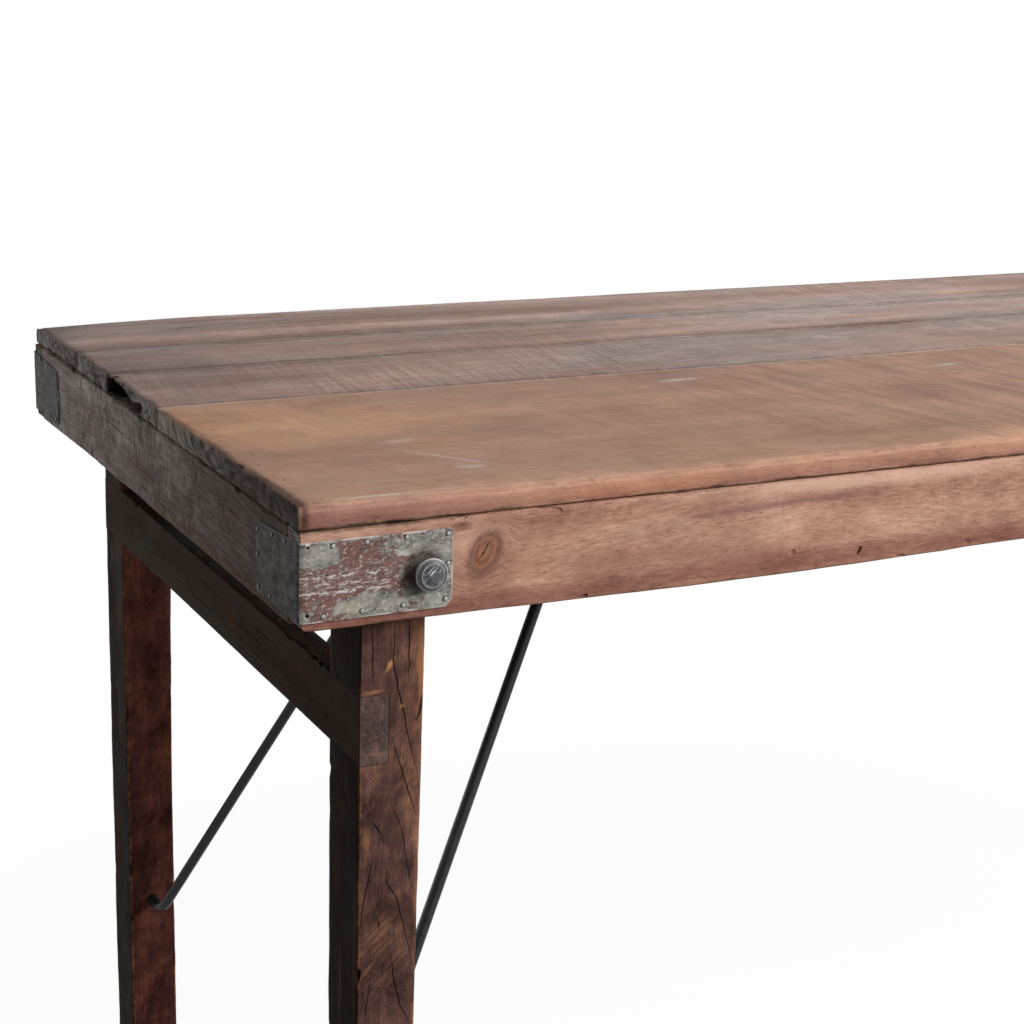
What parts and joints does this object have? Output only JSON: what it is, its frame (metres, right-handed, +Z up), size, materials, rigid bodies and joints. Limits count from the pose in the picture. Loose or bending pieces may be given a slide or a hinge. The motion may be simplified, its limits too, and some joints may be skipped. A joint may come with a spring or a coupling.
{
  "type": "folding bar table",
  "caption": "Long bar-height table with a reclaimed plank top, apron frame with steel corner plates, and leg frames on pivot bolts that fold flat under the top, braced by bent iron stays.",
  "frame": {"origin": "on the floor, under the middle of the table top", "axes": "+X along the table's length, +Y to its back, +Z up"},
  "size_m": [2.2, 0.7226, 1.05],
  "materials": {
    "honey_plank": "old oiled hardwood, honey brown, worn",
    "grey_plank": "old hardwood, grey brown with saw marks",
    "apron_wood": "warm red brown hardwood, oiled",
    "end_wood": "weathered grey brown wood with saw marks",
    "batten_wood": "rough sawn, unfinished",
    "leg_wood": "dark red brown hardwood with cracks",
    "rail_wood": "dark stained hardwood",
    "plate_steel": "dull sheet steel with remains of oxide red paint",
    "bolt_steel": "dark oiled steel",
    "black_iron": "satin black paint on round iron"
  },
  "bodies": {
    "table_top": {"front_plank": "honey_plank", "middle_plank": "grey_plank", "inner_back_plank": "grey_plank", "back_plank": "grey_plank", "front_apron": "apron_wood", "back_apron": "apron_wood", "left_end_apron": "end_wood", "right_end_apron": "end_wood", "left_batten": "batten_wood", "centre_batten": "batten_wood", "right_batten": "batten_wood", "front_left_corner_plate": "plate_steel", "front_right_corner_plate": "plate_steel", "back_left_corner_plate": "plate_steel", "back_right_corner_plate": "plate_steel", "front_left_pivot_bolt": "bolt_steel", "front_right_pivot_bolt": "bolt_steel", "back_left_pivot_bolt": "bolt_steel", "back_right_pivot_bolt": "bolt_steel", "front_left_spacer_washer": "bolt_steel", "front_right_spacer_washer": "bolt_steel", "back_left_spacer_washer": "bolt_steel", "back_right_spacer_washer": "bolt_steel", "front_left_nut_washer": "bolt_steel", "front_right_nut_washer": "bolt_steel", "back_left_nut_washer": "bolt_steel", "back_right_nut_washer": "bolt_steel", "front_left_pivot_nut": "bolt_steel", "front_right_pivot_nut": "bolt_steel", "back_left_pivot_nut": "bolt_steel", "back_right_pivot_nut": "bolt_steel", "front_left_stay_saddle": "black_iron", "front_right_stay_saddle": "black_iron", "back_left_stay_saddle": "black_iron", "back_right_stay_saddle": "black_iron"},
    "left_leg_frame": {"front_left_leg": "leg_wood", "back_left_leg": "leg_wood", "left_upper_rail": "rail_wood", "left_lower_rail": "rail_wood"},
    "right_leg_frame": {"front_right_leg": "leg_wood", "back_right_leg": "leg_wood", "right_upper_rail": "rail_wood", "right_lower_rail": "rail_wood"},
    "left_stay": {"left_stay": "black_iron"},
    "right_stay": {"right_stay": "black_iron"}
  },
  "joints": [
    {"name": "left_leg_fold", "type": "hinge", "parent": "table_top", "child": "left_leg_frame", "pos_m": [-1.009, 0, 0.9957], "axis": [0, -1, 0], "range_deg": [0, 90]},
    {"name": "right_leg_fold", "type": "hinge", "parent": "table_top", "child": "right_leg_frame", "pos_m": [1.009, 0, 0.9957], "axis": [0, 1, 0], "range_deg": [0, 90]},
    {"name": "left_stay_fold", "type": "hinge", "parent": "table_top", "child": "left_stay", "pos_m": [-0.726, 0, 1.0267], "axis": [0, -1, 0], "range_deg": [0, 117]},
    {"name": "right_stay_fold", "type": "hinge", "parent": "table_top", "child": "right_stay", "pos_m": [0.726, 0, 1.0267], "axis": [0, 1, 0], "range_deg": [0, 117]}
  ],
  "couplings": [
    {"joint": "left_stay_fold", "follows": "left_leg_fold", "ratio": 1.3},
    {"joint": "right_stay_fold", "follows": "right_leg_fold", "ratio": 1.3}
  ]
}
